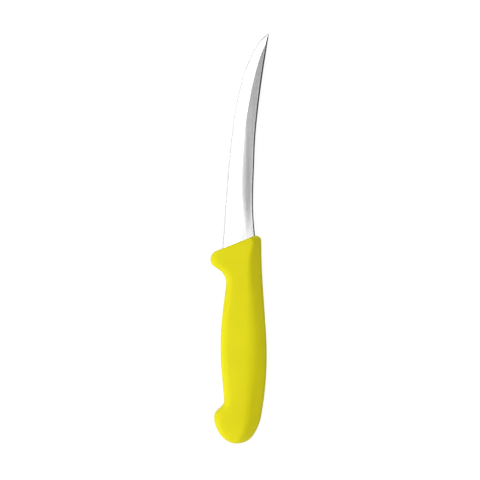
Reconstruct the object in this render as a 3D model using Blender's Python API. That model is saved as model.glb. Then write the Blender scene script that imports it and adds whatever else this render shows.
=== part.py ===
"""Curved boning knife: a ground steel blade whose tang is moulded into a two-shot grip.

The knife lies on its side. X runs from the butt of the handle to the tip of the blade, the cutting
edge faces +Y, the spine faces -Y, and Z is the thickness. The design is drawn in millimetres with
its origin on the handle's axis at the butt, halfway through the thickness. An empty then carries it
to its own frame: the origin is the middle of the overall length and width, on the resting surface.
"""

import math

import bmesh
import bpy
import numpy as np

MM = 0.001

# Overall sizes, in millimetres.
HANDLE_LENGTH = 141.3
HANDLE_DEPTH = 30.9  # back to belly at the middle of the grip
HANDLE_THICKNESS = 19.0
BLADE_LENGTH = 140.0  # from the handle's front face to the tip, along the handle's axis
BLADE_WIDTH = 22.25  # spine to edge where the blade leaves the handle

# Blade steel.
BLADE_THICKNESS = 2.3
SPINE_CHAMFER = 0.6
SHOULDER_THICKNESS = 0.5  # left by the grind, where the sharpened bevel starts
SHARPENED_WIDTH = 0.9
STEEPEST_GRIND = 0.11  # greatest slope of the ground face, which thins the spine near the tip
ROOT_DEPTH = 3.0  # how far the full width of the blade goes into the handle

# Tang.
TANG_LENGTH = 92.0  # from the handle's front face to the end of the tang, along the axis
TANG_WIDTH = 13.0
TANG_END_WIDTH = 9.0
TANG_CENTRE = 0.5  # the tang's middle lies this far from the handle's axis, towards the edge
TANG_SHOULDER = 2.0  # length over which the blade narrows to the tang
HOLE_COUNT = 3
HOLE_DIAMETER = 5.5
HOLE_PITCH = 24.0
FIRST_HOLE = 22.0  # behind the handle's front face

# Grip: a soft skin over a hard core.
SKIN_WALL = 3.0
FRONT_WALL = 7.0  # skin between the front face and the core
BUTT_WALL = 9.0  # skin between the butt and the core
CLEARANCE = 0.3  # between pieces that are moulded onto each other
CORE_ROUND = 4.0  # rounding of the core's two ends
FRONT_THICKNESS = 15.5
FRONT_ROUND = 1.2  # rounding between the front face and the sides
FRONT_TAPER = 20.0  # length over which the handle thins towards its front face
BUTT_ROUND = 13.0  # length over which the butt is rounded in thickness
BUTT_SQUARENESS = 2.6
BELLY_RADIUS = 5.5
# The back is bevelled by two facets, above and below: (share of the handle from the butt, width of
# a facet seen from the side, radius where it meets the flat side).
BACK_FACETS = (
    (0.0, 8.0, 5.0),
    (0.06, 8.6, 6.0),
    (0.15, 9.8, 10.0),
    (0.3, 10.2, 13.0),
    (0.5, 9.0, 16.0),
    (0.75, 8.5, 8.0),
    (0.9, 8.0, 5.0),
    (1.0, 4.8, 3.0),
)
NOSE_HEIGHT = 0.27  # half the height left between the facets, as a share of half the thickness
NOSE_RADIUS = 4.0  # along the back, where the two facets meet
FLAT_SHARE = 0.12  # least share of a section's depth that stays straight
BUTT_FIT = 0.92  # largest share of a rounding's room that it takes up near the butt

# Side outline of the handle: corners of straight runs, each with the radius that rounds it, as
# (distance from the butt, distance from the axis towards the edge, radius). It is drawn at the
# length and depth below, and stretched to the overall sizes.
DRAWN_LENGTH, DRAWN_DEPTH = 141.3, 30.9
HANDLE_CORNERS = (
    (142.9, -11.7, 3.7),  # front face and back
    (129.3, 22.6, 6.4),  # front face and finger guard
    (121.9, 22.6, 5.5),  # rear of the finger guard
    (114.3, 11.2, 11.0),  # neck behind the guard
    (69.3, 16.8, 200.0),  # crown of the belly
    (26.8, 13.1, 6.0),  # hollow in front of the butt's hook
    (20.4, 20.15, 5.4),  # top of the hook
    (14.6, 20.15, 14.0),
    (0.0, 13.3, 14.8),
    (0.0, -3.2, 12.3),
    (13.0, -10.75, 33.0),
    (48.2, -16.75, 230.0),  # crown of the back
    (119.6, -12.0, 380.0),
)

# Spine and cutting edge, as (share of the blade's length, spine, edge), both measured from the
# handle's axis towards the edge, on a blade whose root is as wide as drawn here.
DRAWN_ROOT_WIDTH = 22.25
BLADE_CURVES = (
    (0.00, -7.6, 14.65),
    (0.10, -6.6, 13.35),
    (0.20, -6.3, 12.2),
    (0.35, -6.95, 10.55),
    (0.50, -7.85, 8.4),
    (0.65, -9.95, 5.3),
    (0.80, -12.7, 0.3),
    (0.90, -14.85, -5.25),
    (0.96, -16.15, -10.25),
    (0.98, -16.6, -13.0),
    (1.00, -16.9, -16.4),
)
# Width of the unground flat along the spine, as (share of the blade's length, width).
FLAT_BAND = (
    (0.0, 6.8),
    (0.1, 7.2),
    (0.3, 8.8),
    (0.5, 8.4),
    (0.67, 7.0),
    (0.8, 5.4),
    (0.9, 3.3),
    (0.96, 0.8),
    (1.0, 0.2),
)

# Fineness of the surfaces.
OUTLINE_STEP = math.radians(6)
SECTION_STEPS = (3, 5, 6)  # across the roundings of the nose, of a facet's edge and of the belly
BUTT_STEPS = 8
HANDLE_ZONES = ((0.22, 8), (0.77, 8), (0.98, 14))  # share of the front face's X, steps up to it
FRONT_STEPS = 4
CORE_SECTION_STEPS = (2, 3, 4)
CORE_ZONES = ((0.22, 5), (0.77, 6), (0.98, 9))
CORE_END_STEPS = 3
BLADE_ZONES = ((0.1, 4), (0.8, 14), (0.96, 8), (0.992, 4), (1.0, 2))  # share of the blade, steps
TANG_STEPS = 8
TANG_END_STEPS = 6
RUNOUT_STEPS = 5  # where the grind runs out, inside the handle's front wall
HOLE_SIDES = 32

# Base colour, roughness and metallic value.
STEEL = ((0.50, 0.51, 0.52), 0.28, 1.0)
HARD_PLASTIC = ((0.30, 0.29, 0.24), 0.5, 0.0)
SOFT_PLASTIC = ((0.76, 0.68, 0.03), 0.62, 0.0)


# --- Curves -------------------------------------------------------------------------------------


def rounded_outline(corners, steps=None):
    """Closed outline of straight runs joined by arcs, from (x, y, radius) corners.

    steps gives the number of steps on each corner's arc. Without it, OUTLINE_STEP sets them.
    """
    points = []
    for i, (x, y, radius) in enumerate(corners):
        corner = np.array((x, y))
        before = np.array(corners[i - 1][:2]) - corner
        after = np.array(corners[(i + 1) % len(corners)][:2]) - corner
        before /= np.linalg.norm(before)
        after /= np.linalg.norm(after)
        half_angle = math.acos(float(before @ after)) / 2
        bisector = (before + after) / np.linalg.norm(before + after)
        centre = corner + bisector * radius / math.sin(half_angle)
        spoke = corner + before * radius / math.tan(half_angle) - centre
        turn = math.pi - 2 * half_angle
        if before[0] * after[1] - before[1] * after[0] > 0:
            turn = -turn
        count = steps[i] if steps else max(2, math.ceil(abs(turn) / OUTLINE_STEP))
        for step in range(count + 1):
            cos = math.cos(turn * step / count)
            sin = math.sin(turn * step / count)
            points.append(centre + (spoke[0] * cos - spoke[1] * sin, spoke[0] * sin + spoke[1] * cos))
    return np.array(points)


def smooth_value(table, share, column=1):
    """Value in a column at a share of the length, on a smooth curve through the table's rows."""
    at = [row[0] for row in table]
    value = [row[column] for row in table]
    share = min(max(share, at[0]), at[-1])
    i = min(max(int(np.searchsorted(at, share)), 1), len(at) - 1)
    slopes = []
    for k in (i - 1, i):
        low, high = max(k - 1, 0), min(k + 1, len(at) - 1)
        slopes.append((value[high] - value[low]) / (at[high] - at[low]))
    span = at[i] - at[i - 1]
    t = (share - at[i - 1]) / span
    from_start = (1 + 2 * t) * (1 - t) ** 2 * value[i - 1] + t * (1 - t) ** 2 * span * slopes[0]
    return from_start + t * t * (3 - 2 * t) * value[i] - t * t * (1 - t) * span * slopes[1]


def smoothstep(t):
    t = min(max(t, 0.0), 1.0)
    return t * t * (3 - 2 * t)


def zone_stations(start, zones, first, length):
    """Stations from start through zones of (share of the length where the zone ends, steps)."""
    stations = [start]
    for share, steps in zones:
        begin = stations[-1]
        step = (first + share * length - begin) / steps
        stations += [begin + step * (i + 1) for i in range(steps)]
    return stations


# --- Handle sections ----------------------------------------------------------------------------

STRETCHED_CORNERS = [
    (x * HANDLE_LENGTH / DRAWN_LENGTH, y * HANDLE_DEPTH / DRAWN_DEPTH, radius)
    for x, y, radius in HANDLE_CORNERS
]
OUTLINE = rounded_outline(STRETCHED_CORNERS)
FRONT_BACK, FRONT_GUARD = STRETCHED_CORNERS[:2]
# The front face lies on the line X = FRONT - FRONT_LEAN * Y.
FRONT_LEAN = (FRONT_BACK[0] - FRONT_GUARD[0]) / (FRONT_GUARD[1] - FRONT_BACK[1])
FRONT = FRONT_GUARD[0] + FRONT_LEAN * FRONT_GUARD[1]
NECK = 0.76 * FRONT  # sections are square to the axis up to here, then turn to lie along the front face
TOUCH = 0.03  # the end sections stop this far short of the outline's own ends
LEAST_RADIUS = 0.3
LEAST_NOSE = 0.15  # keeps the facets of a deeply inset section from meeting


def section_ends(station):
    """Belly and back points of the handle's section that crosses the axis at X = station."""
    lean = FRONT_LEAN * smoothstep((station - NECK) / (FRONT - NECK))
    offset = OUTLINE[:, 0] + lean * OUTLINE[:, 1] - station
    crossings = []
    for i in range(len(OUTLINE)):
        a, b = offset[i - 1], offset[i]
        if (a < 0) != (b < 0):
            crossings.append(OUTLINE[i - 1] + (OUTLINE[i] - OUTLINE[i - 1]) * a / (a - b))
    crossings.sort(key=lambda point: point[1])
    return crossings[-1], crossings[0]


def half_thickness(station):
    """Half the handle's thickness, before the rim of the front face is rounded."""
    taper = min(max((station - FRONT + FRONT_TAPER) / FRONT_TAPER, 0.0), 1.0)
    side = HANDLE_THICKNESS / 2 - (HANDLE_THICKNESS - FRONT_THICKNESS) / 2 * taper**2
    from_butt = min(station / BUTT_ROUND, 1.0)
    return side * (1 - (1 - from_butt) ** BUTT_SQUARENESS) ** (1 / BUTT_SQUARENESS)


def handle_ring(station, inset=0.0, thinned=0.0, steps=SECTION_STEPS):
    """Closed section of the handle, inset from its surface, with its sides lowered by thinned.

    Across runs from the back to the belly. Above and below, the section has a facet along the back,
    a flat side, and a round belly.
    """
    belly, back = section_ends(station)
    depth = float(np.linalg.norm(belly - back))
    along = (belly - back) / depth
    height = half_thickness(station) - thinned
    facet = smooth_value(BACK_FACETS, station / FRONT, 1)
    facet_radius = smooth_value(BACK_FACETS, station / FRONT, 2)
    belly_radius = min(BELLY_RADIUS, BUTT_FIT * height)
    shrink = min(1.0, (1 - FLAT_SHARE) * depth / (facet + facet_radius / 2 + belly_radius))
    facet *= shrink
    nose = NOSE_HEIGHT * height
    slope = math.atan((height - nose) / facet)
    half_turn = (math.pi / 2 - slope) / 2  # of the corner where a facet meets the back
    nose_radius = min(NOSE_RADIUS, BUTT_FIT * nose / math.tan(half_turn))
    # Insetting moves each straight run by inset, so the corners follow and the radii shrink by it.
    level = height - inset
    facet_top = facet + inset * math.tan(slope / 2)
    nose = max(level - (facet_top - inset) * math.tan(slope), LEAST_NOSE * level)
    back_face = facet_top - (level - nose) / math.tan(slope)
    nose_radius = min(max(nose_radius - inset, LEAST_RADIUS), BUTT_FIT * nose / math.tan(half_turn))
    facet_radius = max(facet_radius * shrink - inset, LEAST_RADIUS)
    belly_radius = min(max(belly_radius * shrink - inset, LEAST_RADIUS), BUTT_FIT * level)
    corners = (
        (back_face, nose, nose_radius),
        (facet_top, level, facet_radius),
        (depth - inset, level, belly_radius),
    )
    mirrored = tuple((across, -z, radius) for across, z, radius in reversed(corners))
    outline = rounded_outline(corners + mirrored, steps + steps[::-1])
    return [(*(back + along * across), z) for across, z in outline]


def outer_rings():
    """The whole outer surface, from the butt to the front face."""
    stations = [TOUCH]
    stations += [BUTT_ROUND * (1 - math.cos(math.pi / 2 * i / BUTT_STEPS)) for i in range(1, BUTT_STEPS)]
    stations += zone_stations(BUTT_ROUND, HANDLE_ZONES, 0.0, FRONT)
    rings = [handle_ring(station) for station in stations if station < FRONT - FRONT_ROUND - TOUCH]
    for i in range(FRONT_STEPS + 1):
        angle = math.pi / 2 * i / FRONT_STEPS
        station = min(FRONT - FRONT_ROUND * (1 - math.sin(angle)), FRONT - TOUCH)
        rings.append(handle_ring(station, thinned=FRONT_ROUND * (1 - math.cos(angle))))
    return rings


def core_rings(gap):
    """The core's surface, moved outwards by gap."""
    start = BUTT_WALL - gap
    end = FRONT - FRONT_WALL + gap
    inset = SKIN_WALL + CLEARANCE - gap
    rounding = []  # (distance from the core's end, how much the section shrinks there)
    for i in range(CORE_END_STEPS):
        angle = math.pi / 2 * i / CORE_END_STEPS
        rounding.append((CORE_ROUND * (1 - math.cos(angle)), CORE_ROUND * (1 - math.sin(angle))))
    sections = [(start + along, shrink) for along, shrink in rounding]
    for station in zone_stations(start + CORE_ROUND, CORE_ZONES, 0.0, FRONT):
        if station < end - CORE_ROUND - TOUCH:
            sections.append((station, 0.0))
    sections.append((end - CORE_ROUND, 0.0))
    sections += [(end - along, shrink) for along, shrink in reversed(rounding)]
    return [handle_ring(station, inset + shrink, steps=CORE_SECTION_STEPS) for station, shrink in sections]


# --- Blade sections -----------------------------------------------------------------------------

ROOT = FRONT - ROOT_DEPTH
TANG_START = ROOT - TANG_SHOULDER
TANG_END = FRONT - TANG_LENGTH
LEAN_RUN = 28.0  # the sections lie along the front face at the root, and straighten over this length


def steel_ring(station, spine, edge, gap, band=None):
    """Closed section of the steel, moved outwards by gap.

    With a band it is ground: a flat of that width along the spine, a ground face, and a sharpened
    bevel. Without one it is stock of full thickness. Both have the same number of points.
    """
    lean = FRONT_LEAN * (1 - smoothstep(abs(station - ROOT) / LEAN_RUN))
    width = edge - spine
    half = BLADE_THICKNESS / 2
    if band is None:
        band, shoulder, shoulder_height = width / 2, edge + gap, half
    else:
        sharpened = min(SHARPENED_WIDTH, 0.4 * width)
        band = min(band, 0.5 * width)
        shoulder = edge - sharpened
        shoulder_height = SHOULDER_THICKNESS / 2 * min(1.0, width / SHARPENED_WIDTH / 2)
        half = min(half, shoulder_height + STEEPEST_GRIND * (width - sharpened - band))
    chamfer = min(SPINE_CHAMFER, band / 2)
    upper = [
        (spine - gap, half + gap - chamfer),
        (spine - gap + chamfer, half + gap),
        (spine + band, half + gap),
        (shoulder, shoulder_height + gap),
        (edge + gap, 0.0),
    ]
    lower = [(y, -z) for y, z in reversed(upper[:-1])]
    return [(station - lean * y, y, z) for y, z in upper + lower]


def tang_rings(gap):
    """The tang from its round end, and the root of the blade, moved outwards by gap."""
    rings = []
    radius = TANG_END_WIDTH / 2
    for i in range(1, TANG_END_STEPS + 1):
        angle = math.pi / 2 * i / TANG_END_STEPS
        half_width = radius * math.sin(angle)
        station = TANG_END - gap + radius * (1 - math.cos(angle))
        rings.append(steel_ring(station, TANG_CENTRE - half_width, TANG_CENTRE + half_width, gap))
    start = TANG_END - gap + radius
    for i in range(1, TANG_STEPS + 1):
        t = i / TANG_STEPS
        half_width = (TANG_END_WIDTH + (TANG_WIDTH - TANG_END_WIDTH) * t) / 2
        station = start + (TANG_START - gap - start) * t
        rings.append(steel_ring(station, TANG_CENTRE - half_width, TANG_CENTRE + half_width, gap))
    root = np.array(steel_ring(ROOT - gap, *blade_curves(0.0), gap))
    ground = np.array(blade_rings(gap, ())[0])
    for i in range(RUNOUT_STEPS):
        rings.append(root + (ground - root) * i / RUNOUT_STEPS)
    return rings


def blade_curves(share):
    widen = BLADE_WIDTH / DRAWN_ROOT_WIDTH
    return smooth_value(BLADE_CURVES, share, 1) * widen, smooth_value(BLADE_CURVES, share, 2) * widen


def blade_rings(gap, zones):
    """The ground blade from the handle's front face on, moved outwards by gap."""
    rings = []
    for station in zone_stations(FRONT, zones, FRONT, BLADE_LENGTH):
        share = (station - FRONT) / BLADE_LENGTH
        rings.append(steel_ring(station, *blade_curves(share), gap, smooth_value(FLAT_BAND, share)))
    return rings


# --- Objects ------------------------------------------------------------------------------------


def material(name, colour, roughness, metallic):
    made = bpy.data.materials.new(name)
    made.use_nodes = True
    shader = made.node_tree.nodes["Principled BSDF"]
    shader.inputs["Base Color"].default_value = (*colour, 1.0)
    shader.inputs["Roughness"].default_value = roughness
    shader.inputs["Metallic"].default_value = metallic
    return made


def loft(name, rings, collection, parent):
    """Closed solid through rings with the same number of points, capped at both ends.

    The rings follow each other along +X. Each runs along +Y on top and back underneath. The sides
    are triangles with the same diagonals in a piece and in the space cut for it, so that the gap
    between them stays even.
    """
    mesh = bmesh.new()
    rows = [[mesh.verts.new([value * MM for value in point]) for point in ring] for ring in rings]
    for near, far in zip(rows, rows[1:]):
        for i in range(len(near)):
            mesh.faces.new((near[i - 1], far[i], near[i]))
            mesh.faces.new((near[i - 1], far[i - 1], far[i]))
    mesh.faces.new(rows[0])
    mesh.faces.new(rows[-1][::-1])
    return add_object(name, mesh, collection, parent)


def add_object(name, mesh, collection, parent):
    data = bpy.data.meshes.new(name)
    mesh.to_mesh(data)
    mesh.free()
    made = bpy.data.objects.new(name, data)
    made.parent = parent
    collection.objects.link(made)
    return made


def tang_holes(name, gap, collection, parent):
    """Upright cylinders through the tang's holes, smaller than them by gap all round."""
    mesh = bmesh.new()
    for i in range(HOLE_COUNT):
        cylinder = bmesh.ops.create_cone(
            mesh,
            cap_ends=True,
            segments=HOLE_SIDES,
            radius1=(HOLE_DIAMETER / 2 - gap) * MM,
            radius2=(HOLE_DIAMETER / 2 - gap) * MM,
            depth=2 * BLADE_THICKNESS * MM,
        )
        place = ((FRONT - FIRST_HOLE - i * HOLE_PITCH) * MM, TANG_CENTRE * MM, 0.0)
        bmesh.ops.translate(mesh, verts=cylinder["verts"], vec=place)
    return add_object(name, mesh, collection, parent)


def cut(target, cutter):
    cutter.hide_render = True
    cutter.display_type = "WIRE"
    modifier = target.modifiers.new("cut " + cutter.name, "BOOLEAN")
    modifier.operation = "DIFFERENCE"
    modifier.solver = "EXACT"
    modifier.object = cutter


def finish(made, look):
    made.data.materials.append(look)
    made.data.shade_smooth()
    made.data.set_sharp_from_angle(angle=math.radians(30))


def frame_empty(collection):
    """Carries the design to its own frame: middle of the length and width, on its resting side."""
    tip_spine, _ = blade_curves(1.0)
    low = min(OUTLINE[:, 1].min(), tip_spine)
    high = OUTLINE[:, 1].max()
    empty = bpy.data.objects.new("knife_frame", None)
    empty.location = (
        -(FRONT + BLADE_LENGTH) / 2 * MM,
        -(low + high) / 2 * MM,
        HANDLE_THICKNESS / 2 * MM,
    )
    collection.objects.link(empty)
    return empty


def main():
    for old in list(bpy.data.objects):
        bpy.data.objects.remove(old, do_unlink=True)
    parts = bpy.data.collections.new("boning_knife")
    cutters = bpy.data.collections.new("cutters")
    for collection in (parts, cutters):
        bpy.context.scene.collection.children.link(collection)
    frame = frame_empty(parts)

    blade = loft("blade", tang_rings(0.0) + blade_rings(0.0, BLADE_ZONES), parts, frame)
    cut(blade, tang_holes("tang_holes", 0.0, cutters, frame))
    finish(blade, material("ground_steel", *STEEL))

    # The steel as the plastic sees it, with clearance all round and plugs left in its holes.
    slot = loft("tang_slot", tang_rings(CLEARANCE) + blade_rings(CLEARANCE, BLADE_ZONES[:1]), cutters, frame)
    cut(slot, tang_holes("tang_plugs", CLEARANCE, cutters, frame))

    core = loft("handle_core", core_rings(0.0), parts, frame)
    cut(core, slot)
    finish(core, material("hard_plastic", *HARD_PLASTIC))

    skin = loft("grip_skin", outer_rings(), parts, frame)
    cut(skin, loft("core_space", core_rings(CLEARANCE), cutters, frame))
    cut(skin, slot)
    finish(skin, material("soft_plastic", *SOFT_PLASTIC))


main()
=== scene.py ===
import math

import bmesh
import bpy
import numpy as np
from mathutils import Matrix, Vector


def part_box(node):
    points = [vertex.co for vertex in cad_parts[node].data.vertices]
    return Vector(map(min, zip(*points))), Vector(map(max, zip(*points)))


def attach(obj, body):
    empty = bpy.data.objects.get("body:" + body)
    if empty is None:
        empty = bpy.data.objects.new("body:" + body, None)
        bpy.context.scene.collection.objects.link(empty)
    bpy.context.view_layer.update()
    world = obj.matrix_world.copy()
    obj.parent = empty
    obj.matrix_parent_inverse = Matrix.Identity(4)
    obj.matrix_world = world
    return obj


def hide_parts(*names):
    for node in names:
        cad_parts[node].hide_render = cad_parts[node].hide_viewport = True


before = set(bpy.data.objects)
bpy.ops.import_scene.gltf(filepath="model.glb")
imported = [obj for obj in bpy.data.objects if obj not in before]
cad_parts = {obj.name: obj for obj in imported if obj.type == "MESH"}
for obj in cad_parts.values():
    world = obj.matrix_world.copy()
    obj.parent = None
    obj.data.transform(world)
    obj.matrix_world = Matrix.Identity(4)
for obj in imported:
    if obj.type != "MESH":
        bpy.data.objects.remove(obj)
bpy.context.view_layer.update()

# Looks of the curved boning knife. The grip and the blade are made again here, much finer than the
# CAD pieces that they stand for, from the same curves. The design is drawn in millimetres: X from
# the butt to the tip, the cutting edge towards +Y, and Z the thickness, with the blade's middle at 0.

MM = 0.001

# Blade sizes, in millimetres.
BLADE_LENGTH = 140.0
BLADE_THICKNESS = 2.3
SHOULDER_THICKNESS = 0.74  # where the ground face meets the whetted bevel
SHARPENED_WIDTH = 1.1  # of the whetted bevel
FULL_SHOULDER = 2 * SHARPENED_WIDTH  # narrower steel than this has a thinner shoulder
MOST_WHETTED = 0.4  # share of the width that the whetted bevel may take
MOST_FLAT = 0.5  # share of the width that the unground band may take
STEEPEST_GRIND = 0.11  # most rise of the ground face for each millimetre across
ROOT_DEPTH = 3.0  # how far the blade's full width goes into the handle
LEAN_RUN = 28.0  # distance from the root over which the sections turn upright
EDGE_THICKNESS = 0.04
EDGE_RATIO = 3.0  # the edge is at least this many times thinner than the shoulder
SPINE_ROUND = 0.12
CORNER_CUT = 0.3  # where a round corner's middle lies, as a share of its radius
LEAST_SPINE = 0.25  # share of the half thickness that the spine bevel has to leave
NARROW_STEEL = 3.5  # the spine's bevel shrinks where the blade is narrower than this
SPINE_BEVEL = (  # share of the blade, width and drop of the bevel that breaks the spine's edge
    (0.0, 0.8, 0.38),
    (0.4, 0.9, 0.46),
    (0.7, 1.1, 0.52),
    (0.9, 1.0, 0.5),
    (1.0, 0.75, 0.4),
)
BORDER_WIDTH = 0.8  # of the strip between that bevel and the flat
BORDER_DROP = 0.022  # how far that strip slopes down to the flat near the handle
BORDER_END = (0.12, 0.24)  # shares of the blade between which that slope runs out
NARROW_BAND = 4.0  # the border shrinks where the unground band is narrower than this
LEAST_FLAT = 0.1  # the flat is at least this wide
CROWN_DROP = 0.09  # how far the flat rolls off towards the grind
CROWN_END = (0.45, 0.72)  # shares of the blade between which that roll-off runs out
ROOT_FALL = 0.19  # how far the flat slopes down to the grind at the handle, in place of the roll-off
ROOT_FALL_END = 0.22  # share of the blade by which that slope has run out

# Tang sizes.
TANG_LENGTH = 92.0  # from the handle's front
TANG_WIDTH = 13.0
TANG_END_WIDTH = 9.0
TANG_CENTRE = 0.5
TANG_SHOULDER = 2.0  # run from the tang's width to the blade's
HOLE_COUNT = 3
HOLE_DIAMETER = 5.5
HOLE_PITCH = 24.0
FIRST_HOLE = 22.0  # from the handle's front

# Grip sizes.
HANDLE_THICKNESS = 19.0
SKIN_WALL = 3.0
FRONT_WALL = 7.0
BUTT_WALL = 9.0
CORE_ROUND = 4.0
FRONT_THICKNESS = 15.5
FRONT_ROUND = 1.2
FRONT_TAPER = 20.0  # length over which the sides close in to the front
NECK_SHARE = 0.76  # share of the handle from which its sections lean towards the front face
BUTT_ROUND = 13.0
BUTT_SQUARENESS = 2.6  # 2 is an ellipse, and more is squarer
BELLY_RADIUS = 5.5
BACK_FACETS = (  # share of the handle, facet's width, radius where it meets the flat side
    (0.0, 8.0, 5.0),
    (0.06, 8.6, 6.0),
    (0.15, 9.8, 10.0),
    (0.3, 10.2, 13.0),
    (0.5, 9.0, 16.0),
    (0.75, 8.5, 8.0),
    (0.9, 8.0, 5.0),
    (1.0, 4.8, 3.0),
)
NOSE_HEIGHT = 0.27  # share of the half thickness that stays upright at the back
NOSE_RADIUS = 4.0
FLAT_SHARE = 0.12  # least share of a section's depth that stays flat
BUTT_FIT = 0.92  # share of the room in a thin section that its radii may take
LEAST_RADIUS = 0.3
LEAST_NOSE = 0.15
PARTING_WIDTH = 0.5
PARTING_HEIGHT = 0.12
PARTING_ROOM = 0.8  # share of a thin section's upright side that the parting line may take
PARTING_SHAPE = ((1.0, 0.0), (0.5, 0.75), (0.0, 1.0), (-0.5, 0.75), (-1.0, 0.0))

# Clearances. The skin fits the steel closely, and keeps the CAD's gap to the core.
STEEL_GAP = 0.05
CORE_GAP = 0.3

HANDLE_CORNERS = (  # side outline: (from the butt, from the axis towards the edge, radius)
    (142.9, -11.7, 3.7),
    (129.3, 22.6, 6.4),
    (121.9, 22.6, 5.5),
    (114.3, 11.2, 11.0),
    (69.3, 16.8, 200.0),
    (26.8, 13.1, 6.0),
    (20.4, 20.15, 5.4),
    (14.6, 20.15, 14.0),
    (0.0, 13.3, 14.8),
    (0.0, -3.2, 12.3),
    (13.0, -10.75, 33.0),
    (48.2, -16.75, 230.0),
    (119.6, -12.0, 380.0),
)
BLADE_CURVES = (  # share of the blade, spine, edge
    (0.00, -7.6, 14.65),
    (0.10, -6.6, 13.35),
    (0.20, -6.3, 12.2),
    (0.35, -6.95, 10.55),
    (0.50, -7.85, 8.4),
    (0.65, -9.95, 5.3),
    (0.80, -12.7, 0.3),
    (0.90, -14.85, -5.25),
    (0.96, -16.15, -10.25),
    (0.98, -16.6, -13.0),
    (1.00, -16.9, -16.4),
)
FLAT_BAND = (  # share of the blade, width of the unground flat
    (0.0, 6.8),
    (0.1, 7.2),
    (0.3, 8.8),
    (0.5, 8.4),
    (0.67, 7.0),
    (0.8, 5.4),
    (0.9, 3.3),
    (0.96, 0.8),
    (1.0, 0.2),
)

# Fineness of the surfaces. A zone is (share of the length where it ends, sections in it).
OUTLINE_STEP = math.radians(1.5)
SECTION_STEPS = (6, 10, 12)  # on the corners of a section, from the back to the belly
CORE_STEPS = (2, 3, 4)
BUTT_STEPS = 26
HANDLE_ZONES = ((0.22, 22), (0.77, 60), (0.991, 65))
FRONT_STEPS = 8
CORE_ZONES = ((0.22, 5), (0.77, 6), (0.98, 9))
CORE_END_STEPS = 3
BLADE_ZONES = ((0.1, 24), (0.8, 90), (0.96, 50), (0.992, 20), (1.0, 8))
SLOT_ZONES = ((0.1, 24),)
TANG_STEPS = 16
TANG_END_STEPS = 12
RUNOUT_STEPS = 8  # sections between the unground root and the ground blade
HOLE_SIDES = 64
TOUCH = 0.03  # least distance from the handle's ends, and from the start of a rounding
# Points across each piece of the steel's upper profile, from the spine to the edge.
PROFILE = {"spine": 5, "border": 4, "flat": 8, "ground": 10, "whetted": 3}
CORNER_POINTS = 4  # the profile's first points, up to the end of the spine's round corner
BLADE_CREASE = 12  # degrees between faces, from which their shared line is shaded sharp
GRIP_CREASE = 40


# --- Curves -------------------------------------------------------------------------------------


def rounded_outline(corners, steps=None):
    """Closed outline of straight runs joined by arcs, from (x, y, radius) corners."""
    points = []
    for i, (x, y, radius) in enumerate(corners):
        corner = np.array((x, y))
        before = np.array(corners[i - 1][:2]) - corner
        after = np.array(corners[(i + 1) % len(corners)][:2]) - corner
        before /= np.linalg.norm(before)
        after /= np.linalg.norm(after)
        half_angle = math.acos(float(before @ after)) / 2
        bisector = (before + after) / np.linalg.norm(before + after)
        centre = corner + bisector * radius / math.sin(half_angle)
        spoke = corner + before * radius / math.tan(half_angle) - centre
        turn = math.pi - 2 * half_angle
        if before[0] * after[1] - before[1] * after[0] > 0:
            turn = -turn
        count = steps[i] if steps else max(2, math.ceil(abs(turn) / OUTLINE_STEP))
        for step in range(count + 1):
            cos = math.cos(turn * step / count)
            sin = math.sin(turn * step / count)
            points.append(centre + (spoke[0] * cos - spoke[1] * sin, spoke[0] * sin + spoke[1] * cos))
    return np.array(points)


def smooth_value(table, share, column=1):
    """Value in a column at a share of the length, on a smooth curve through the table's rows."""
    at = [row[0] for row in table]
    value = [row[column] for row in table]
    share = min(max(share, at[0]), at[-1])
    i = min(max(int(np.searchsorted(at, share)), 1), len(at) - 1)
    slopes = []
    for k in (i - 1, i):
        low, high = max(k - 1, 0), min(k + 1, len(at) - 1)
        slopes.append((value[high] - value[low]) / (at[high] - at[low]))
    span = at[i] - at[i - 1]
    t = (share - at[i - 1]) / span
    from_start = (1 + 2 * t) * (1 - t) ** 2 * value[i - 1] + t * (1 - t) ** 2 * span * slopes[0]
    return from_start + t * t * (3 - 2 * t) * value[i] - t * t * (1 - t) * span * slopes[1]


def smoothstep(t):
    t = min(max(t, 0.0), 1.0)
    return t * t * (3 - 2 * t)


def fade(share, start, end):
    """1 up to start, 0 from end on, and a smooth way down between them."""
    return 1 - smoothstep((share - start) / (end - start))


def zone_stations(start, zones, first, length):
    """Stations from start through zones of (share of the length where the zone ends, steps)."""
    stations = [start]
    for share, steps in zones:
        begin = stations[-1]
        step = (first + share * length - begin) / steps
        stations += [begin + step * (i + 1) for i in range(steps)]
    return stations


# --- Grip ---------------------------------------------------------------------------------------

OUTLINE = rounded_outline(HANDLE_CORNERS)
FRONT_BACK, FRONT_GUARD = HANDLE_CORNERS[:2]
FRONT_LEAN = (FRONT_BACK[0] - FRONT_GUARD[0]) / (FRONT_GUARD[1] - FRONT_BACK[1])
FRONT = FRONT_GUARD[0] + FRONT_LEAN * FRONT_GUARD[1]
NECK = NECK_SHARE * FRONT


def section_ends(station):
    """Belly and back points of the handle's section that crosses the axis at X = station."""
    lean = FRONT_LEAN * smoothstep((station - NECK) / (FRONT - NECK))
    offset = OUTLINE[:, 0] + lean * OUTLINE[:, 1] - station
    crossings = []
    for i in range(len(OUTLINE)):
        a, b = offset[i - 1], offset[i]
        if (a < 0) != (b < 0):
            crossings.append(OUTLINE[i - 1] + (OUTLINE[i] - OUTLINE[i - 1]) * a / (a - b))
    crossings.sort(key=lambda point: point[1])
    return crossings[-1], crossings[0]


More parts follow.
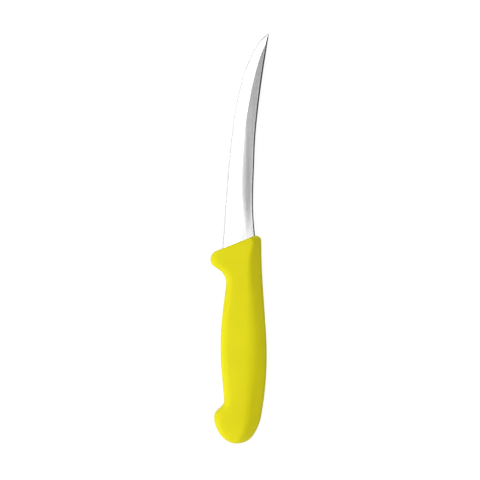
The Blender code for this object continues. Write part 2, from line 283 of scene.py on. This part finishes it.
def half_thickness(station):
    taper = min(max((station - FRONT + FRONT_TAPER) / FRONT_TAPER, 0.0), 1.0)
    side = HANDLE_THICKNESS / 2 - (HANDLE_THICKNESS - FRONT_THICKNESS) / 2 * taper**2
    from_butt = min(station / BUTT_ROUND, 1.0)
    return side * (1 - (1 - from_butt) ** BUTT_SQUARENESS) ** (1 / BUTT_SQUARENESS)


def section_corners(station, depth, inset, thinned):
    """Upper corners of a section, from the back to the belly, as (across, height, radius)."""
    height = half_thickness(station) - thinned
    facet = smooth_value(BACK_FACETS, station / FRONT, 1)
    facet_radius = smooth_value(BACK_FACETS, station / FRONT, 2)
    belly_radius = min(BELLY_RADIUS, BUTT_FIT * height)
    shrink = min(1.0, (1 - FLAT_SHARE) * depth / (facet + facet_radius / 2 + belly_radius))
    facet *= shrink
    nose = NOSE_HEIGHT * height
    slope = math.atan((height - nose) / facet)
    half_turn = (math.pi / 2 - slope) / 2
    nose_radius = min(NOSE_RADIUS, BUTT_FIT * nose / math.tan(half_turn))
    level = height - inset
    facet_top = facet + inset * math.tan(slope / 2)
    nose = max(level - (facet_top - inset) * math.tan(slope), LEAST_NOSE * level)
    back_face = facet_top - (level - nose) / math.tan(slope)
    nose_radius = min(max(nose_radius - inset, LEAST_RADIUS), BUTT_FIT * nose / math.tan(half_turn))
    facet_radius = max(facet_radius * shrink - inset, LEAST_RADIUS)
    belly_radius = min(max(belly_radius * shrink - inset, LEAST_RADIUS), BUTT_FIT * level)
    return (
        (back_face, nose, nose_radius),
        (facet_top, level, facet_radius),
        (depth - inset, level, belly_radius),
    )


def parting_ridge(start, end, outwards):
    """Points of the mould's parting line, a low ridge in the middle of a straight run."""
    room = min(PARTING_WIDTH / 2, PARTING_ROOM * abs(start[1]))
    side = math.copysign(room, start[1])
    height = PARTING_HEIGHT * room / (PARTING_WIDTH / 2)
    across = (start[0] + end[0]) / 2
    return [(across + outwards * height * rise, side * place) for place, rise in PARTING_SHAPE]


def handle_ring(station, inset=0.0, thinned=0.0, steps=SECTION_STEPS, parted=True):
    """Closed section of the handle, inset from its surface, with its sides lowered by thinned."""
    belly, back = section_ends(station)
    depth = float(np.linalg.norm(belly - back))
    along = (belly - back) / depth
    corners = section_corners(station, depth, inset, thinned)
    mirrored = tuple((across, -z, radius) for across, z, radius in reversed(corners))
    outline = [tuple(point) for point in rounded_outline(corners + mirrored, steps + steps[::-1])]
    if parted:
        half = len(outline) // 2
        belly_ridge = parting_ridge(outline[half - 1], outline[half], 1)
        back_ridge = parting_ridge(outline[-1], outline[0], -1)
        outline = outline[:half] + belly_ridge + outline[half:] + back_ridge
    return [(*(back + along * across), z) for across, z in outline]


def outer_rings():
    """The whole outer surface, from the butt to the front face."""
    stations = [TOUCH]
    stations += [BUTT_ROUND * (1 - math.cos(math.pi / 2 * i / BUTT_STEPS)) for i in range(1, BUTT_STEPS)]
    stations += zone_stations(BUTT_ROUND, HANDLE_ZONES, 0.0, FRONT)
    rings = [handle_ring(station) for station in stations if station < FRONT - FRONT_ROUND - TOUCH]
    for i in range(FRONT_STEPS + 1):
        angle = math.pi / 2 * i / FRONT_STEPS
        station = min(FRONT - FRONT_ROUND * (1 - math.sin(angle)), FRONT - TOUCH)
        rings.append(handle_ring(station, thinned=FRONT_ROUND * (1 - math.cos(angle))))
    return rings


def space_rings():
    """The space for the core inside the skin."""
    start = BUTT_WALL - CORE_GAP
    end = FRONT - FRONT_WALL + CORE_GAP
    rounding = []
    for i in range(CORE_END_STEPS):
        angle = math.pi / 2 * i / CORE_END_STEPS
        rounding.append((CORE_ROUND * (1 - math.cos(angle)), CORE_ROUND * (1 - math.sin(angle))))
    sections = [(start + along, shrink) for along, shrink in rounding]
    for station in zone_stations(start + CORE_ROUND, CORE_ZONES, 0.0, FRONT):
        if station < end - CORE_ROUND - TOUCH:
            sections.append((station, 0.0))
    sections.append((end - CORE_ROUND, 0.0))
    sections += [(end - along, shrink) for along, shrink in reversed(rounding)]
    return [
        handle_ring(station, inset=SKIN_WALL + shrink, steps=CORE_STEPS, parted=False)
        for station, shrink in sections
    ]


# --- Blade --------------------------------------------------------------------------------------

ROOT = FRONT - ROOT_DEPTH
TANG_START = ROOT - TANG_SHOULDER
TANG_END = FRONT - TANG_LENGTH


def along_line(start, end, count):
    """count points from start towards end, without end."""
    return [tuple(np.array(start) + (np.array(end) - np.array(start)) * i / count) for i in range(count)]


def grind(width, band):
    """Band, whetted width, and the half thicknesses of the stock, the shoulder and the edge."""
    half = BLADE_THICKNESS / 2
    if band is None:
        return width / 2, SHARPENED_WIDTH, half, half, half
    band = min(band, MOST_FLAT * width)
    whetted = min(SHARPENED_WIDTH, MOST_WHETTED * width)
    shoulder = SHOULDER_THICKNESS / 2 * min(1.0, width / FULL_SHOULDER)
    half = min(half, shoulder + STEEPEST_GRIND * (width - whetted - band))
    return band, whetted, half, shoulder, min(EDGE_THICKNESS / 2, shoulder / EDGE_RATIO)


def flat_points(share, start, end, half):
    """Points across the flat, which rolls off or slopes down towards the grind."""
    step = BORDER_DROP * fade(share, *BORDER_END)
    near_root = fade(share, 0.0, ROOT_FALL_END) if share >= 0 else 0.0
    crown = CROWN_DROP * fade(share, *CROWN_END) * (1 - near_root)
    fall = ROOT_FALL * near_root
    points = []
    for i in range(PROFILE["flat"] + 1):
        t = i / PROFILE["flat"]
        points.append((start + (end - start) * t, half - (step + crown * t**3 + fall * t)))
    return points


def spine_corner(spine, height, radius):
    """The spine's upright side, and the small round corner above it."""
    inwards = CORNER_CUT * radius
    rounding = [(spine + inwards, height - inwards), (spine + radius, height)]
    return [(spine, 0.0), (spine, height - radius)] + rounding


def steel_profile(share, spine, edge, band):
    """Upper half of a section of the steel, as (across, height) from the spine to the edge."""
    width = edge - spine
    band, whetted, half, shoulder_height, edge_height = grind(width, band)
    scale = min(1.0, width / NARROW_STEEL)
    bevel_end = spine + smooth_value(SPINE_BEVEL, share, 1) * scale
    bevel_height = max(half - smooth_value(SPINE_BEVEL, share, 2) * scale, LEAST_SPINE * half)
    border_end = bevel_end + BORDER_WIDTH * min(1.0, band / NARROW_BAND)
    corner = spine_corner(spine, bevel_height, SPINE_ROUND * scale)
    flat = flat_points(share, border_end, max(spine + band, border_end + LEAST_FLAT), half)
    shoulder = (edge - whetted, shoulder_height)
    return [
        *corner[:-1],
        *along_line(corner[-1], (bevel_end, half), PROFILE["spine"] - CORNER_POINTS + 1),
        *along_line((bevel_end, half), flat[0], PROFILE["border"]),
        *flat[:-1],
        *along_line(flat[-1], shoulder, PROFILE["ground"]),
        *along_line(shoulder, (edge, edge_height), PROFILE["whetted"]),
        (edge, edge_height),
    ]


def steel_ring(station, spine, edge, gap, band=None):
    """Closed section of the steel, moved outwards by gap. Without a band it is unground stock."""
    upper = steel_profile((station - FRONT) / BLADE_LENGTH, spine, edge, band)
    sideways = [-gap] * CORNER_POINTS + [0.0] * (len(upper) - CORNER_POINTS - 1) + [gap]
    upwards = [0.0] + [gap] * (len(upper) - 1)
    grown = [(y + dy, z + dz) for (y, z), dy, dz in zip(upper, sideways, upwards)]
    lower = [(y, -z) for y, z in reversed(grown[1:])]
    lean = FRONT_LEAN * (1 - smoothstep(abs(station - ROOT) / LEAN_RUN))
    return [(station - lean * y, y, z) for y, z in grown + lower]


def tang_rings(gap):
    """The tang from its round end, and the root of the blade, moved outwards by gap."""
    rings = []
    radius = TANG_END_WIDTH / 2
    for i in range(1, TANG_END_STEPS + 1):
        angle = math.pi / 2 * i / TANG_END_STEPS
        half_width = radius * math.sin(angle)
        station = TANG_END - gap + radius * (1 - math.cos(angle))
        rings.append(steel_ring(station, TANG_CENTRE - half_width, TANG_CENTRE + half_width, gap))
    start = TANG_END - gap + radius
    for i in range(1, TANG_STEPS + 1):
        t = i / TANG_STEPS
        half_width = (TANG_END_WIDTH + (TANG_WIDTH - TANG_END_WIDTH) * t) / 2
        station = start + (TANG_START - gap - start) * t
        rings.append(steel_ring(station, TANG_CENTRE - half_width, TANG_CENTRE + half_width, gap))
    root = np.array(steel_ring(ROOT - gap, *blade_curves(0.0), gap))
    ground = np.array(blade_rings(gap, ())[0])
    for i in range(RUNOUT_STEPS):
        rings.append(root + (ground - root) * i / RUNOUT_STEPS)
    return rings


def blade_curves(share):
    return smooth_value(BLADE_CURVES, share, 1), smooth_value(BLADE_CURVES, share, 2)


def blade_rings(gap, zones):
    """The ground blade from the handle's front face on, moved outwards by gap."""
    rings = []
    for station in zone_stations(FRONT, zones, FRONT, BLADE_LENGTH):
        share = (station - FRONT) / BLADE_LENGTH
        rings.append(steel_ring(station, *blade_curves(share), gap, smooth_value(FLAT_BAND, share)))
    return rings


# --- Meshes -------------------------------------------------------------------------------------


def design_origin():
    """Where the design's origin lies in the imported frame, from the blade's own box."""
    low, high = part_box("blade")
    tip_spine, _ = blade_curves(1.0)
    return Vector((high.x - (FRONT + BLADE_LENGTH) * MM, low.y - tip_spine * MM, (low.z + high.z) / 2))


ORIGIN = design_origin()


def loft(name, rings):
    """Closed solid through rings that follow each other along +X, capped at both ends."""
    mesh = bmesh.new()
    rows = [[mesh.verts.new(ORIGIN + Vector(point) * MM) for point in ring] for ring in rings]
    for near, far in zip(rows, rows[1:]):
        for i in range(len(near)):
            mesh.faces.new((near[i - 1], far[i], near[i]))
            mesh.faces.new((near[i - 1], far[i - 1], far[i]))
    mesh.faces.new(rows[0])
    mesh.faces.new(rows[-1][::-1])
    return add_object(name, mesh)


def add_object(name, mesh):
    data = bpy.data.meshes.new(name)
    mesh.to_mesh(data)
    mesh.free()
    made = bpy.data.objects.new(name, data)
    bpy.context.scene.collection.objects.link(made)
    return made


def tang_holes():
    """Upright cylinders where the tang's holes go."""
    mesh = bmesh.new()
    for i in range(HOLE_COUNT):
        cylinder = bmesh.ops.create_cone(
            mesh,
            cap_ends=True,
            segments=HOLE_SIDES,
            radius1=HOLE_DIAMETER / 2 * MM,
            radius2=HOLE_DIAMETER / 2 * MM,
            depth=2 * BLADE_THICKNESS * MM,
        )
        place = ORIGIN + Vector((FRONT - FIRST_HOLE - i * HOLE_PITCH, TANG_CENTRE, 0.0)) * MM
        bmesh.ops.translate(mesh, verts=cylinder["verts"], vec=place)
    return add_object("holes", mesh)


def cut(target, *cutters):
    """Takes the cutters' shapes out of target, and removes the cutters."""
    for cutter in cutters:
        modifier = target.modifiers.new("cut", "BOOLEAN")
        modifier.operation = "DIFFERENCE"
        modifier.solver = "EXACT"
        modifier.object = cutter
    bake(target)
    for cutter in cutters:
        bpy.data.objects.remove(cutter, do_unlink=True)


def bake(target):
    """Keeps the mesh that the target's modifiers make."""
    depsgraph = bpy.context.evaluated_depsgraph_get()
    made = bpy.data.meshes.new_from_object(target.evaluated_get(depsgraph))
    target.modifiers.clear()
    target.data = made


def shade(made, angle):
    made.data.shade_smooth()
    made.data.set_sharp_from_angle(angle=math.radians(angle))


# --- Materials ----------------------------------------------------------------------------------

NOISE_MIDDLE = (0.3, 0.7)  # the part of a noise's range that holds most of it
# Each finish varies between its two colours.
GRIP_COLOURS = ((0.757, 0.690, 0.0065), (0.800, 0.731, 0.0090))
CORE_COLOURS = ((0.27, 0.26, 0.21), (0.33, 0.32, 0.27))
FLOOR_COLOURS = ((0.095, 0.095, 0.095), (0.105, 0.105, 0.105))
ALONG = (0.012, 1.0, 1.0)  # lines run along the blade
ACROSS = (1.0, 0.03, 0.03)  # lines run from the spine to the edge
LINE_SCALE = 2400.0  # lines a metre
GLOSS_SCALE = 500.0
GLOSS_RANGE = (0.85, 1.15)  # of the finish's own roughness
STEEL_FINISHES = (  # as in PROFILE: name, darkest and lightest grey, roughness, lines, their depth
    ("steel_spine", 0.68, 0.80, 0.22, ALONG, 0.000004),
    ("steel_border", 0.68, 0.76, 0.20, ALONG, 0.000002),
    ("steel_flat", 0.63, 0.71, 0.18, ALONG, 0.000002),
    ("steel_ground", 0.53, 0.60, 0.18, ACROSS, 0.000002),
    ("steel_whetted", 0.70, 0.80, 0.20, ACROSS, 0.000003),
)


class Shader:
    """A Principled material with small helpers for its procedural nodes."""

    def __init__(self, name, roughness, metallic=0.0, specular=0.5):
        self.material = bpy.data.materials.new(name)
        self.material.use_nodes = True
        self.nodes = self.material.node_tree.nodes
        self.links = self.material.node_tree.links
        self.surface = self.nodes["Principled BSDF"]
        self.surface.inputs["Roughness"].default_value = roughness
        self.surface.inputs["Metallic"].default_value = metallic
        self.surface.inputs["Specular IOR Level"].default_value = specular
        self.place = self.nodes.new("ShaderNodeTexCoord").outputs["Object"]

    def noise(self, scale, detail=2.0, stretch=(1.0, 1.0, 1.0)):
        """Noise between 0 and 1, with scale features a metre, stretched along the axes."""
        mapping = self.nodes.new("ShaderNodeMapping")
        mapping.inputs["Scale"].default_value = [scale * axis for axis in stretch]
        self.links.new(self.place, mapping.inputs["Vector"])
        texture = self.nodes.new("ShaderNodeTexNoise")
        texture.inputs["Scale"].default_value = 1.0
        texture.inputs["Detail"].default_value = detail
        self.links.new(mapping.outputs["Vector"], texture.inputs["Vector"])
        return texture.outputs["Fac"]

    def spread(self, value, low, high):
        """A noise, stretched so that its middle part goes from low to high."""
        node = self.nodes.new("ShaderNodeMapRange")
        node.inputs["From Min"].default_value = NOISE_MIDDLE[0]
        node.inputs["From Max"].default_value = NOISE_MIDDLE[1]
        node.inputs["To Min"].default_value = low
        node.inputs["To Max"].default_value = high
        self.links.new(value, node.inputs["Value"])
        return node.outputs["Result"]

    def blend(self, factor, first, second):
        """Colour from first to second as factor goes from 0 to 1."""
        node = self.nodes.new("ShaderNodeMix")
        node.data_type = "RGBA"
        self.links.new(factor, node.inputs["Factor"])
        node.inputs["A"].default_value = (*first, 1.0)
        node.inputs["B"].default_value = (*second, 1.0)
        return node.outputs["Result"]

    def bump(self, height, depth, strength):
        """Bumps of that depth in metres, on top of any made before."""
        node = self.nodes.new("ShaderNodeBump")
        node.inputs["Strength"].default_value = strength
        node.inputs["Distance"].default_value = depth
        self.links.new(height, node.inputs["Height"])
        before = self.surface.inputs["Normal"]
        if before.is_linked:
            self.links.new(before.links[0].from_socket, node.inputs["Normal"])
        self.links.new(node.outputs["Normal"], before)

    def set(self, socket, value):
        self.links.new(value, self.surface.inputs[socket])


def grip_material():
    """Soft yellow plastic out of a spark-eroded mould."""
    shader = Shader("soft_yellow_plastic", roughness=0.6, specular=0.11)
    patches = shader.spread(shader.noise(scale=40.0, detail=3.0), low=0.0, high=1.0)
    shader.set("Base Color", shader.blend(patches, *GRIP_COLOURS))
    shader.set("Roughness", shader.spread(shader.noise(scale=350.0, detail=3.0), low=0.54, high=0.68))
    shader.bump(shader.noise(scale=2600.0, detail=4.0), depth=0.00003, strength=0.35)
    return shader.material


def core_material():
    """Hard greyish plastic under the skin, with faint flow marks along the mould."""
    shader = Shader("hard_plastic", roughness=0.5, specular=0.4)
    marks = shader.noise(scale=300.0, detail=3.0, stretch=(0.15, 1.0, 1.0))
    flow = shader.spread(marks, low=0.0, high=1.0)
    shader.set("Base Color", shader.blend(flow, *CORE_COLOURS))
    shader.set("Roughness", shader.spread(shader.noise(scale=900.0), low=0.42, high=0.58))
    shader.bump(shader.noise(scale=1800.0, detail=3.0), depth=0.00002, strength=0.3)
    return shader.material


def steel_material(name, darkest, lightest, roughness, stretch, depth):
    """Ground steel: fine lines in one direction, which also vary its brightness and gloss."""
    shader = Shader(name, roughness, metallic=1.0)
    lines = shader.noise(scale=LINE_SCALE, detail=3.0, stretch=stretch)
    shade_of_line = shader.spread(lines, low=0.0, high=1.0)
    shader.set("Base Color", shader.blend(shade_of_line, (darkest,) * 3, (lightest,) * 3))
    gloss = shader.noise(scale=GLOSS_SCALE, detail=2.0, stretch=stretch)
    smoothest, roughest = (roughness * share for share in GLOSS_RANGE)
    shader.set("Roughness", shader.spread(gloss, low=smoothest, high=roughest))
    shader.bump(lines, depth=depth, strength=0.25)
    return shader.material


# --- Pieces -------------------------------------------------------------------------------------


def finish_faces(blade, rings):
    """Gives each side face of the blade the finish of its piece of the profile."""
    finishes = []
    for finish, points in enumerate(PROFILE.values()):
        finishes += [finish] * points
    per_ring = len(rings[0])
    side_faces = (len(rings) - 1) * per_ring * 2
    for face in blade.data.polygons[:side_faces]:
        i = face.index // 2 % per_ring
        place = min(i, per_ring + 1 - i) - 1
        face.material_index = finishes[min(max(place, 0), len(finishes) - 1)]


def make_blade():
    rings = tang_rings(0.0) + blade_rings(0.0, BLADE_ZONES)
    blade = loft("blade_steel", rings)
    for finish in STEEL_FINISHES:
        blade.data.materials.append(steel_material(*finish))
    finish_faces(blade, rings)
    cut(blade, tang_holes())
    shade(blade, BLADE_CREASE)
    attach(blade, "root")
    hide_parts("blade")


def make_grip():
    grip = loft("grip_moulding", outer_rings())
    slot = loft("slot", tang_rings(STEEL_GAP) + blade_rings(STEEL_GAP, SLOT_ZONES))
    cut(grip, loft("space", space_rings()), slot)
    grip.data.materials.append(grip_material())
    shade(grip, GRIP_CREASE)
    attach(grip, "root")
    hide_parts("grip_skin")


def finish_core():
    """The CAD's own core stays, with a finished material."""
    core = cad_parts["handle_core"]
    core.data.materials.clear()
    core.data.materials.append(core_material())


# --- Studio -------------------------------------------------------------------------------------

FLOOR_HALF = 6.0
FLOOR_DEPTH = 0.2 * MM
FLOOR_GLOW = 0.95
LENS = 100.0
SENSOR = 36.0
VIEW_WIDTH = 326.4 * MM
VIEW_CENTRE = (-0.93 * MM, -0.25 * MM)
ROOM_TONES = (  # height of the direction, where 1 is straight up, and the room's radiance there
    (0.0, 1.0),
    (0.06, 0.35),
    (0.3, 0.3),
    (0.45, 0.06),
)
SOFTBOXES = (  # name, centre, width, height, radiance
    ("key", (-0.05, 0.375, 1.12), 3.0, 0.60, 3.0),
    ("side", (-0.75, 0.75, 0.95), 1.1, 0.6, 2.6),
    ("edge", (0.1, 0.86, 0.95), 2.4, 0.3, 0.74),
    ("top", (0.15, -0.05, 1.15), 1.0, 0.24, 0.40),
)


def make_floor():
    mesh = bmesh.new()
    bmesh.ops.create_grid(mesh, x_segments=4, y_segments=4, size=FLOOR_HALF)
    floor = add_object("floor", mesh)
    floor.location.z = -FLOOR_DEPTH
    shader = Shader("pale_floor", roughness=0.9, specular=0.0)
    tone = shader.spread(shader.noise(scale=3.0), low=0.0, high=1.0)
    shader.set("Base Color", shader.blend(tone, *FLOOR_COLOURS))
    shader.surface.inputs["Emission Color"].default_value = (1.0, 1.0, 1.0, 1.0)
    shader.surface.inputs["Emission Strength"].default_value = FLOOR_GLOW
    floor.data.materials.append(shader.material)


def softbox(name, centre, width, height, radiance):
    """A rectangular light at centre, facing the knife, with its width along X."""
    data = bpy.data.lights.new(name, "AREA")
    data.shape = "RECTANGLE"
    data.size = width
    data.size_y = height
    data.energy = radiance * math.pi * width * height
    light = bpy.data.objects.new(name, data)
    away = Vector(centre).normalized()
    side = (Vector((1, 0, 0)) - away * away.x).normalized()
    axes = Matrix((side, away.cross(side), away)).transposed().to_4x4()
    light.matrix_world = Matrix.Translation(centre) @ axes
    bpy.context.scene.collection.objects.link(light)


def make_world():
    """The room: as pale as the floor at the horizon, and darker higher up."""
    world = bpy.data.worlds.new("studio")
    world.use_nodes = True
    nodes, links = world.node_tree.nodes, world.node_tree.links
    direction = nodes.new("ShaderNodeSeparateXYZ")
    links.new(nodes.new("ShaderNodeTexCoord").outputs["Generated"], direction.inputs["Vector"])
    ramp = nodes.new("ShaderNodeValToRGB")
    stops = ramp.color_ramp.elements
    while len(stops) < len(ROOM_TONES):
        stops.new(1.0)
    for stop, (height, tone) in zip(stops, ROOM_TONES):
        stop.position = height
        stop.color = (tone, tone, tone, 1.0)
    links.new(direction.outputs["Z"], ramp.inputs["Fac"])
    links.new(ramp.outputs["Color"], nodes["Background"].inputs["Color"])
    bpy.context.scene.world = world


def make_camera():
    data = bpy.data.cameras.new("camera")
    data.lens = LENS
    data.sensor_width = SENSOR
    camera = bpy.data.objects.new("camera", data)
    distance = VIEW_WIDTH / 2 / (SENSOR / 2 / LENS)
    camera.location = (*VIEW_CENTRE, ORIGIN.z + distance)
    camera.rotation_euler = (0.0, 0.0, -math.pi / 2)
    bpy.context.scene.collection.objects.link(camera)
    bpy.context.scene.camera = camera


def main():
    make_blade()
    make_grip()
    finish_core()
    make_floor()
    for box in SOFTBOXES:
        softbox(*box)
    make_world()
    make_camera()
    bpy.context.scene.view_settings.view_transform = "Standard"


main()
